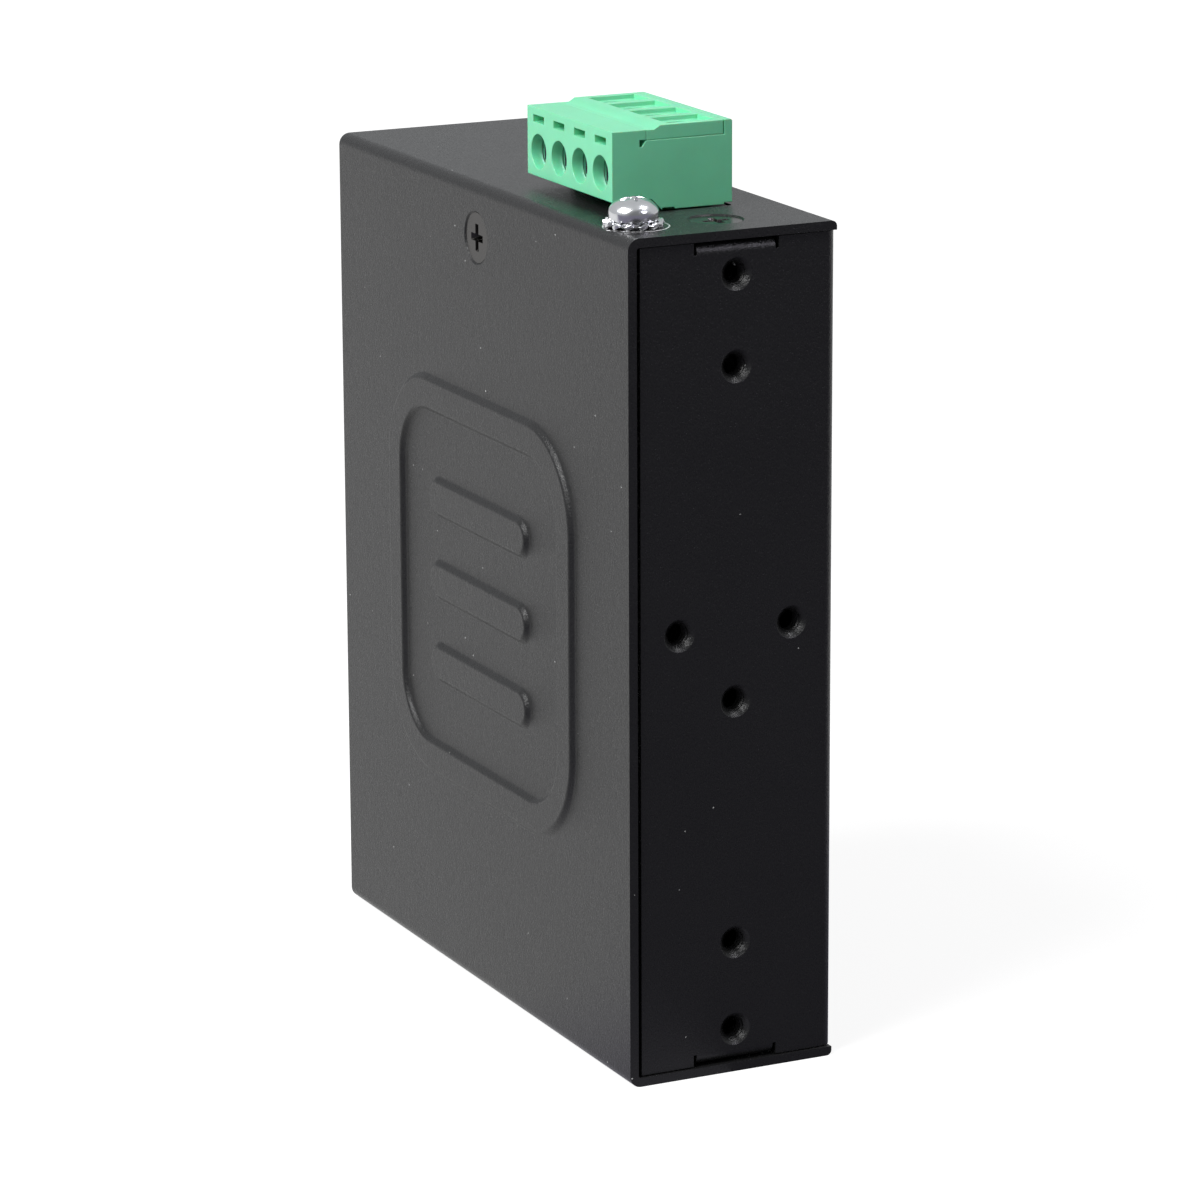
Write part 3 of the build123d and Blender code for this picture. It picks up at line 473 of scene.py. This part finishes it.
def softened(node, width, material, slot):
    """Stands for a node: the same form with its sharp edges broken by width."""
    mesh = frame["nodes"][node].data.copy()
    mesh.name = f"{node}_soft"
    shell = bmesh.new()
    shell.from_mesh(mesh)
    bmesh.ops.remove_doubles(shell, verts=shell.verts, dist=MERGE_REACH)
    bmesh.ops.dissolve_limit(shell, angle_limit=FLAT_ANGLE, verts=shell.verts, edges=shell.edges)
    shell.to_mesh(mesh)
    shell.free()
    if "custom_normal" in mesh.attributes:
        mesh.attributes.remove(mesh.attributes["custom_normal"])
    for face in mesh.polygons:
        face.use_smooth = True
    raw = bpy.data.objects.new(f"{node}_raw", mesh)
    bpy.context.scene.collection.objects.link(raw)
    bevel = raw.modifiers.new("edges", "BEVEL")
    bevel.width = width
    bevel.segments = 2
    bevel.limit_method = "ANGLE"
    bevel.angle_limit = EDGE_ANGLE
    bevel.use_clamp_overlap = True
    weighted = raw.modifiers.new("normals", "WEIGHTED_NORMAL")
    weighted.weight = FLAT_FACE_WEIGHT
    bpy.context.view_layer.update()
    shaped = raw.evaluated_get(bpy.context.evaluated_depsgraph_get())
    final = bpy.data.meshes.new_from_object(shaped)
    bpy.data.objects.remove(raw)
    return placed(f"{node}_shell", final, material, slot, node)


def tapped_holes():
    """Centres of the tapped holes in the back panel and their radius, from the part's mounts."""
    spots = []
    for mount in frame["record"]["mounts"]:
        centre, dims = Vector(mount["pos_m"]), mount["dims"]
        if mount["kind"] == "threaded_hole":
            spots.append(centre)
            radius = dims["r_mm"] * MM
        elif mount["kind"] == "bolt_pattern":
            spacing = Vector((dims.get("spacing_x_mm", 0.0), 0, dims.get("spacing_y_mm", 0.0)))
            half = spacing * MM / 2
            spots += [centre - half, centre + half]
    return spots, radius


def thread_ridge(shell, centre, radius, looks):
    """A helical ridge on the wall of a hole along Y."""
    count = looks.thread_steps
    turns = looks.thread_length / looks.thread_pitch
    previous = None
    for step in range(int(turns * count) + 1):
        angle = 2 * math.pi * step / count
        along = looks.thread_pitch * step / count - looks.thread_length / 2
        ring = []
        for reach, shift in (
            (radius + THREAD_FOOT, -THREAD_FLANK), (radius - looks.thread_depth, 0.0),
            (radius + THREAD_FOOT, THREAD_FLANK),
        ):
            y = along + shift * looks.thread_pitch
            spot = Vector((reach * math.cos(angle), y, reach * math.sin(angle)))
            ring.append(shell.verts.new(centre + spot))
        if previous:
            for corner in range(3):
                after = (corner + 1) % 3
                shell.faces.new((previous[corner], previous[after], ring[after], ring[corner]))
        else:
            shell.faces.new(ring)
        previous = ring
    shell.faces.new(previous[::-1])


# Sizes and colours that a user would change

class CaseLooks(bpy.types.PropertyGroup):
    """Folded steel case"""
    coat_color: FloatVectorProperty(
        name="Coat", description="Colour of the powder coat", subtype="COLOR", size=3,
        default=(0.011, 0.011, 0.0115))
    coat_roughness: FloatProperty(
        name="Coat roughness", description="Gloss of the powder coat", min=0, max=1, default=0.30)
    coat_gloss: FloatProperty(
        name="Coat gloss", description="Strength of the coat's reflections", min=0, max=1,
        default=0.34)
    grain_size: FloatProperty(
        name="Grain", description="Width of one grain of the coat", unit="LENGTH",
        default=0.00026)
    peel_size: FloatProperty(
        name="Peel", description="Length of the slow waves in the coat", unit="LENGTH",
        default=0.0011)
    grain_depth: FloatProperty(
        name="Grain depth", description="Height of the grain", unit="LENGTH", default=0.000085)
    speck_color: FloatVectorProperty(
        name="Specks", description="Colour of the dust specks", subtype="COLOR", size=3,
        default=(0.5, 0.5, 0.5))
    speck_spacing: FloatProperty(
        name="Speck spacing", description="Distance between specks", unit="LENGTH",
        default=0.0032)
    speck_size: FloatProperty(
        name="Speck size", description="Radius of a speck", unit="LENGTH", default=0.00009)
    # Bright colour of the rim, a painted highlight; the bare disc shows it darkened as painted
    # shadow of the washer
    bare_steel_and_highlight_color: FloatVectorProperty(
        name="Bare steel", description="Colour of the unpainted steel under the ground screw",
        subtype="COLOR", size=3, default=(0.86, 0.86, 0.87))
    bare_reach: FloatProperty(
        name="Bare spot", description="Radius of the unpainted spot", unit="LENGTH",
        default=0.00355)
    bare_shift: FloatProperty(
        name="Bare spot shift",
        description="How far the spot lies off the screw, away from the broad side",
        unit="LENGTH", default=0.0003)
    edge_width: FloatProperty(
        name="Edge", description="Width by which the cut edges are broken", unit="LENGTH",
        default=0.00012)
    thread_pitch: FloatProperty(
        name="Thread pitch", description="Pitch of the tapped holes", unit="LENGTH",
        default=0.0005)
    thread_depth: FloatProperty(
        name="Thread depth", description="Height of the thread's ridge", unit="LENGTH",
        default=0.00014)
    thread_length: FloatProperty(
        name="Thread length", description="Length of thread in each hole", unit="LENGTH",
        default=0.0016)
    thread_steps: IntProperty(
        name="Thread steps", description="Facets in a turn", min=8, default=40)


class HardwareLooks(bpy.types.PropertyGroup):
    """Screws, washer, nut, post and standoffs"""
    zinc_color: FloatVectorProperty(
        name="Zinc", description="Bright plated steel", subtype="COLOR", size=3,
        default=(0.80, 0.81, 0.83))
    zinc_roughness: FloatProperty(
        name="Zinc roughness", description="Gloss of the plating", min=0, max=1, default=0.20)
    satin_tone: FloatProperty(
        name="Satin tone", description="Brightness of the clinched standoffs", min=0, max=1,
        default=0.55)
    satin_roughness: FloatProperty(
        name="Satin roughness", description="Gloss of the clinched standoffs", min=0, max=1,
        default=0.42)
    black_color: FloatVectorProperty(
        name="Black screws", description="Black plated steel", subtype="COLOR", size=3,
        default=(0.075, 0.072, 0.070))
    black_roughness: FloatProperty(
        name="Black roughness", description="Gloss of the black plating", min=0, max=1,
        default=0.24)
    edge_width: FloatProperty(
        name="Edge", description="Width by which edges are broken", unit="LENGTH",
        default=0.00008)


class PlugLooks(bpy.types.PropertyGroup):
    """Pluggable power terminal"""
    plastic_color: FloatVectorProperty(
        name="Plastic", description="Green polyamide", subtype="COLOR", size=3,
        default=(0.155, 0.62, 0.355))
    header_color: FloatVectorProperty(
        name="Header", description="Black polyamide of the header", subtype="COLOR", size=3,
        default=(0.016, 0.017, 0.016))
    plastic_roughness: FloatProperty(
        name="Plastic roughness", description="Gloss of the moulding", min=0, max=1, default=0.36)
    plastic_gloss: FloatProperty(
        name="Plastic gloss", description="Strength of the moulding's reflections",
        min=0, max=1, default=1.0)
    spread: FloatProperty(
        name="Spread", description="Share of the light that spreads inside the plastic",
        min=0, max=1, default=0.25)
    clamp_color: FloatVectorProperty(
        name="Clamps", description="Plated wire clamps", subtype="COLOR", size=3,
        default=(0.72, 0.75, 0.80))
    clamp_roughness: FloatProperty(
        name="Clamp roughness", description="Gloss of the clamps", min=0, max=1, default=0.22)
    tin_color: FloatVectorProperty(
        name="Tin", description="Tinned contacts", subtype="COLOR", size=3,
        default=(0.76, 0.75, 0.72))
    tin_roughness: FloatProperty(
        name="Tin roughness", description="Gloss of the contacts", min=0, max=1, default=0.3)
    edge_width: FloatProperty(
        name="Edge", description="Width by which the moulded edges are rounded", unit="LENGTH",
        default=0.00014)


class PortLooks(bpy.types.PropertyGroup):
    """Ethernet sockets and lights"""
    shield_color: FloatVectorProperty(
        name="Shield", description="Nickel-plated sheet", subtype="COLOR", size=3,
        default=(0.72, 0.70, 0.66))
    shield_roughness: FloatProperty(
        name="Shield roughness", description="Gloss of the shields", min=0, max=1, default=0.28)
    housing_color: FloatVectorProperty(
        name="Housing", description="Black plastic", subtype="COLOR", size=3,
        default=(0.018, 0.018, 0.019))
    housing_roughness: FloatProperty(
        name="Housing roughness", description="Gloss of the housings", min=0, max=1, default=0.42)
    gold_color: FloatVectorProperty(
        name="Gold", description="Gold-plated contacts", subtype="COLOR", size=3,
        default=(0.93, 0.66, 0.27))
    gold_roughness: FloatProperty(
        name="Gold roughness", description="Gloss of the contacts", min=0, max=1, default=0.22)
    green_color: FloatVectorProperty(
        name="Link light", description="Green lens", subtype="COLOR", size=3,
        default=(0.42, 0.80, 0.42))
    amber_color: FloatVectorProperty(
        name="Speed light", description="Amber lens", subtype="COLOR", size=3,
        default=(0.95, 0.66, 0.22))
    pipe_color: FloatVectorProperty(
        name="Light pipe", description="Clear rod", subtype="COLOR", size=3,
        default=(0.90, 0.93, 0.90))
    lens_clarity: FloatProperty(
        name="Clarity", description="How clear the lenses are", min=0, max=1, default=0.6)


class BoardLooks(bpy.types.PropertyGroup):
    """Circuit board and what is on it"""
    # The solder mask colour is darkened as painted shade, so the board stays dark where it shows
    # through the holes
    mask_color: FloatVectorProperty(
        name="Mask", description="Solder mask", subtype="COLOR", size=3,
        default=(0.008, 0.055, 0.022))
    trace_color: FloatVectorProperty(
        name="Traces", description="Copper under the mask", subtype="COLOR", size=3,
        default=(0.018, 0.12, 0.045))
    tin_color: FloatVectorProperty(
        name="Vias", description="Tinned vias", subtype="COLOR", size=3, default=(0.7, 0.7, 0.68))
    trace_pitch: FloatProperty(
        name="Trace pitch", description="Distance between traces", unit="LENGTH", default=0.0008)
    package_color: FloatVectorProperty(
        name="Packages", description="Moulded chip packages", subtype="COLOR", size=3,
        default=(0.022, 0.022, 0.024))
    package_roughness: FloatProperty(
        name="Package roughness", description="Gloss of the packages", min=0, max=1, default=0.5)
    sleeve_color: FloatVectorProperty(
        name="Sleeve", description="Capacitor sleeve", subtype="COLOR", size=3,
        default=(0.02, 0.024, 0.05))
    can_color: FloatVectorProperty(
        name="Can", description="Aluminium can", subtype="COLOR", size=3,
        default=(0.80, 0.81, 0.82))
    crystal_roughness: FloatProperty(
        name="Crystal roughness", description="Gloss of the crystal's can", min=0, max=1,
        default=0.26)
    ferrite_roughness: FloatProperty(
        name="Ferrite roughness", description="Gloss of the inductors", min=0, max=1, default=0.6)
    ferrite_color: FloatVectorProperty(
        name="Ferrite", description="Pressed ferrite", subtype="COLOR", size=3,
        default=(0.06, 0.06, 0.065))


class StageLooks(bpy.types.PropertyGroup):
    """Floor, lights and camera"""
    floor_color: FloatVectorProperty(
        name="Floor", description="Colour of the floor", subtype="COLOR", size=3,
        default=(0.26, 0.26, 0.26))
    floor_reach: FloatProperty(
        name="Floor reach", description="Half width of the floor", unit="LENGTH", default=4.0)
    floor_glow: FloatProperty(
        name="Floor glow", description="White added to the floor where it is seen", min=0, max=1,
        default=0.84)
    world_light: FloatProperty(
        name="World light", description="Strength of the surrounding light", min=0, max=2,
        default=0.25)
    sky_gloss: FloatProperty(
        name="Sky gloss", description="Strength of the surroundings in reflections", min=0, max=2,
        default=0.57)
    floor_gloss: FloatProperty(
        name="Floor gloss", description="Strength of the floor in reflections", min=0, max=2,
        default=0.89)
    gloss_shade: FloatProperty(
        name="Gloss shade", description="Strength in reflections on the dark side, towards +Y",
        min=0, max=1, default=0.20)
    key_power: FloatProperty(
        name="Key light", description="Power of the key light in watts", min=0, default=9.6)
    fill_power: FloatProperty(
        name="Fill light", description="Power of the fill light in watts", min=0, default=0.12)
    glint_power: FloatProperty(
        name="Glint light",
        description="Power in watts of the light that only shows in reflections", min=0,
        default=1.2)
    top_power: FloatProperty(
        name="Top light", description="Power of the overhead light in watts", min=0, default=1.4)
    camera_place: FloatVectorProperty(
        name="Camera", description="Where the camera stands", subtype="TRANSLATION", size=3,
        default=(0.24510, 0.51209, 0.19005))
    azimuth: FloatProperty(
        name="Azimuth", description="Way the camera faces, in degrees", default=154.32)
    elevation: FloatProperty(
        name="Elevation", description="Camera's height angle, in degrees", default=14.32)
    roll: FloatProperty(
        name="Roll", description="Camera's roll, in degrees", default=-0.29)
    lens: FloatProperty(
        name="Lens", description="Focal length in millimetres", default=160.15)
    sensor: FloatProperty(
        name="Sensor", description="Width of the sensor in millimetres", default=36.0)


# Operators, one for each group of pieces

class SWITCH_OT_case(bpy.types.Operator):
    """Coats the cover and chassis and cuts the threads of the tapped holes"""
    bl_idname = "switch.case"
    bl_label = "Case"

    def execute(self, context):
        looks = context.scene.switch_case
        low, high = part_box("ground_washer")
        seat = Vector(((low.x + high.x) / 2 - looks.bare_shift, (low.y + high.y) / 2, low.z))
        coat = powder_coat("cover_coat", looks, (seat, looks.bare_reach))
        softened("cover", looks.edge_width, coat, "black_sheet")
        coat = powder_coat("chassis_coat", looks)
        softened("chassis", looks.edge_width, coat, "black_sheet")
        shell = bmesh.new()
        spots, radius = tapped_holes()
        for centre in spots:
            thread_ridge(shell, centre, radius, looks)
        mesh = bpy.data.meshes.new("tapped_threads")
        bmesh.ops.recalc_face_normals(shell, faces=shell.faces)
        shell.to_mesh(mesh)
        shell.free()
        placed("tapped_threads", mesh, coat, "black_sheet")
        return {"FINISHED"}


class SWITCH_OT_hardware(bpy.types.Operator):
    """Plates the screws, washer, nut, post and standoffs"""
    bl_idname = "switch.hardware"
    bl_label = "Hardware"

    def execute(self, context):
        looks = context.scene.switch_hardware
        zinc = plated("bright_zinc", looks.zinc_color, looks.zinc_roughness)
        black = plated(
            "black_plating", looks.black_color, looks.black_roughness,
            FINE_METAL_GRAIN, SCREW_GRAIN_DEPTH,
        )
        softened("cover_screws", looks.edge_width * 2, black, "black_screw")
        softened("ground_screw", looks.edge_width, zinc, "bright_steel")
        softened("ground_washer", looks.edge_width / 2, zinc, "bright_steel")
        finished(zinc, "ground_nut", "side_post", "board_screws")
        color = scaled(looks.zinc_color, looks.satin_tone)
        satin = plated("satin_steel", color, looks.satin_roughness)
        finished(satin, "board_standoffs")
        return {"FINISHED"}


class SWITCH_OT_plug(bpy.types.Operator):
    """Finishes the power plug, its clamps and the header it sits in"""
    bl_idname = "switch.plug"
    bl_label = "Power plug"

    def execute(self, context):
        looks = context.scene.switch_plug
        green = moulded(
            "green_polyamide", looks.plastic_color, looks.plastic_roughness,
            spread=looks.spread, gloss=looks.plastic_gloss,
        )
        softened("plug_housing", looks.edge_width, green, "green_plastic")
        softened("plug_cap", looks.edge_width / 2, green, "green_plastic")
        black = moulded("header_polyamide", looks.header_color, looks.plastic_roughness)
        finished(black, "terminal_header")
        zinc = plated("clamp_zinc", looks.clamp_color, looks.clamp_roughness)
        finished(zinc, "wire_clamps", "clamp_screws")
        tin = plated("tinned_brass", looks.tin_color, looks.tin_roughness)
        finished(tin, "plug_sockets", "header_pins")
        return {"FINISHED"}


class SWITCH_OT_ports(bpy.types.Operator):
    """Finishes the ethernet sockets, their contacts and lights, and the power lights"""
    bl_idname = "switch.ports"
    bl_label = "Ports"

    def execute(self, context):
        looks = context.scene.switch_ports
        shield = plated(
            "nickel_sheet", looks.shield_color, looks.shield_roughness, FINE_METAL_GRAIN,
            streaks=DRAWN_SHEET,
        )
        housing = moulded("socket_plastic", looks.housing_color, looks.housing_roughness)
        gold = plated("gold_plating", looks.gold_color, looks.gold_roughness)
        for number in PORTS:
            finished(shield, f"jack_shield_{number}")
            finished(housing, f"jack_housing_{number}")
            finished(gold, f"jack_contacts_{number}")
        for name, color, nodes in (
            ("green_lens", looks.green_color, ("link_lights", "power_lamps")),
            ("amber_lens", looks.amber_color, ("speed_lights",)),
            ("clear_rod", looks.pipe_color, ("light_pipes",)),
        ):
            finished(clear_lens(name, color, looks.lens_clarity), *nodes)
        return {"FINISHED"}


class SWITCH_OT_board(bpy.types.Operator):
    """Finishes the circuit board and its components"""
    bl_idname = "switch.board"
    bl_label = "Circuit board"

    def execute(self, context):
        looks = context.scene.switch_board
        finished(solder_mask("solder_mask", looks), "circuit_board")
        package = moulded(
            "chip_package", looks.package_color, looks.package_roughness, PACKAGE_GRAIN
        )
        finished(
            package, "switch_chip", "line_transformers", "memory_chip", "converter_chips",
            "fuses", "surge_diodes",
        )
        finished(plated("crystal_can", looks.can_color, looks.crystal_roughness), "crystal")
        finished(sleeved_can("capacitor_can", looks), "capacitors")
        ferrite = moulded(
            "pressed_ferrite", looks.ferrite_color, looks.ferrite_roughness, FERRITE_GRAIN
        )
        finished(ferrite, "inductors")
        return {"FINISHED"}


def area_light(name, place, target, width, power, color, diffuse):
    """A square light that faces target; with diffuse off it shows in reflections only."""
    lamp = bpy.data.lights.new(name, "AREA")
    lamp.size = width
    lamp.energy = power
    lamp.color = color
    light = bpy.data.objects.new(name, lamp)
    light.location = place
    light.visible_diffuse = diffuse
    light.rotation_euler = (Vector(target) - Vector(place)).to_track_quat("-Z", "Y").to_euler()
    bpy.context.scene.collection.objects.link(light)


def seen_rays(finish):
    """Two masks: rays off gloss, and rays seen by the camera, also through clear plastic."""
    camera = finish.node("ShaderNodeLightPath", out="Is Camera Ray")
    outputs = camera.socket.node.outputs
    glossy = Socket(finish, outputs["Is Glossy Ray"])
    clear = Socket(finish, outputs["Is Transmission Ray"])
    return glossy, (camera + clear * (1 - glossy)).smaller(1.0)


class SWITCH_OT_stage(bpy.types.Operator):
    """Sets the floor, the world, the lights and the camera"""
    bl_idname = "switch.stage"
    bl_label = "Studio"

    def execute(self, context):
        looks = context.scene.switch_stage
        self.floor(context, looks)
        self.world(context, looks)
        low, high = cad_box
        middle = (low + high) / 2
        for name, (place, width, color, diffuse) in LIGHTS.items():
            power = getattr(looks, f"{name}_power")
            area_light(name, place, middle, width, power, color, diffuse)
        self.camera(context, looks)
        context.scene.view_settings.view_transform = "Standard"
        return {"FINISHED"}

    def floor(self, context, looks):
        mesh = bpy.data.meshes.new("floor")
        reach = looks.floor_reach
        corners = [(-reach, -reach, 0), (reach, -reach, 0), (reach, reach, 0), (-reach, reach, 0)]
        mesh.from_pydata(corners, [], [(0, 1, 2, 3)])
        floor = bpy.data.objects.new("floor", mesh)
        context.scene.collection.objects.link(floor)
        material, finish = new_material("floor_paper")
        glossy, seen = seen_rays(finish)
        paper = finish.node("ShaderNodeBsdfDiffuse", None, {"Color": rgba(looks.floor_color)})
        x, y, z = finish.axes()
        far = finish.between(finish.distance((0.0, 0.0, 0.0)), *WHITE_BAND)
        white = looks.floor_glow + (1 - looks.floor_glow) * far
        glow = finish.node("ShaderNodeEmission", None, {"Strength": seen * white})
        both = finish.node("ShaderNodeAddShader", None, {0: paper, 1: glow})
        # Painted shadow of the part on the floor, seen only in reflections
        painted_shadow_strip = finish.between(x, *FLOOR_SHADOW_BAND) * (x < 0.0)
        shade = finish.between(y + x * FLOOR_SHADE_SLANT, *FLOOR_SHADE_BAND).larger(painted_shadow_strip)
        mirrored = looks.floor_gloss - shade * (looks.floor_gloss - looks.gloss_shade)
        tint = finish.blend(shade, rgba(1.0), rgba(FLOOR_SHADE_TINT))
        card = finish.node("ShaderNodeEmission", None, {"Color": tint, "Strength": mirrored})
        mixed = finish.node("ShaderNodeMixShader", None, {0: glossy, 1: both, 2: card})
        finish.node("ShaderNodeOutputMaterial", None, {"Surface": mixed})
        mesh.materials.append(material)

    def world(self, context, looks):
        world = bpy.data.worlds.new("studio")
        world.use_nodes = True
        context.scene.world = world
        finish = Finish(world.node_tree)
        glossy, seen = seen_rays(finish)
        x, y, z = finish.axes(finish.node("ShaderNodeTexCoord", out="Generated"))
        shade = finish.between(y, *SKY_SHADE_BAND)
        mirrored = looks.sky_gloss - shade * (looks.sky_gloss - looks.gloss_shade)
        strength = seen * (1 - looks.world_light) + looks.world_light
        strength = strength + glossy * (mirrored - looks.world_light)
        tint = finish.blend(glossy, rgba(1.0), rgba(SKY_TINT))
        glow = finish.node("ShaderNodeBackground", None, {"Color": tint, "Strength": strength})
        finish.node("ShaderNodeOutputWorld", None, {"Surface": glow})

    def camera(self, context, looks):
        camera = bpy.data.objects.new("camera", bpy.data.cameras.new("camera"))
        context.scene.collection.objects.link(camera)
        camera.data.lens = looks.lens
        camera.data.sensor_width = looks.sensor
        camera.data.clip_start, camera.data.clip_end = CLIP_RANGE
        azimuth, elevation = math.radians(looks.azimuth), math.radians(looks.elevation)
        level = Vector((-math.sin(azimuth), math.cos(azimuth), 0.0)) * math.cos(elevation)
        forward = level - Vector((0.0, 0.0, math.sin(elevation)))
        roll = Matrix.Rotation(math.radians(looks.roll), 3, "Z")
        turn = forward.to_track_quat("-Z", "Y").to_matrix() @ roll
        camera.matrix_world = Matrix.Translation(looks.camera_place) @ turn.to_4x4()
        context.scene.camera = camera


class SWITCH_PT_looks(bpy.types.Panel):
    """Lists the switch's pieces and their sizes and colours"""
    bl_idname = "SWITCH_PT_looks"
    bl_label = "Industrial switch"
    bl_space_type = "VIEW_3D"
    bl_region_type = "UI"
    bl_category = "Switch"

    def draw(self, context):
        for name, operator in STEPS.items():
            section = self.layout.box()
            section.operator(operator.bl_idname)
            looks = getattr(context.scene, f"switch_{name}")
            for field in looks.bl_rna.properties:
                if field.identifier not in ("rna_type", "name"):
                    section.prop(looks, field.identifier)


STEPS = {
    "stage": SWITCH_OT_stage,
    "case": SWITCH_OT_case,
    "hardware": SWITCH_OT_hardware,
    "plug": SWITCH_OT_plug,
    "ports": SWITCH_OT_ports,
    "board": SWITCH_OT_board,
}
LOOKS = {
    "stage": StageLooks,
    "case": CaseLooks,
    "hardware": HardwareLooks,
    "plug": PlugLooks,
    "ports": PortLooks,
    "board": BoardLooks,
}


def register():
    for name, group in LOOKS.items():
        bpy.utils.register_class(group)
        setattr(bpy.types.Scene, f"switch_{name}", PointerProperty(type=group))
    for operator in STEPS.values():
        bpy.utils.register_class(operator)
    bpy.utils.register_class(SWITCH_PT_looks)


def unregister():
    bpy.utils.unregister_class(SWITCH_PT_looks)
    for operator in reversed(STEPS.values()):
        bpy.utils.unregister_class(operator)
    for name, group in reversed(LOOKS.items()):
        delattr(bpy.types.Scene, f"switch_{name}")
        bpy.utils.unregister_class(group)


def main():
    """Dresses the part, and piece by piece."""
    register()
    bpy.ops.switch.stage()
    bpy.ops.switch.case()
    bpy.ops.switch.hardware()
    bpy.ops.switch.plug()
    bpy.ops.switch.ports()
    bpy.ops.switch.board()


if __name__ == "__main__":
    main()
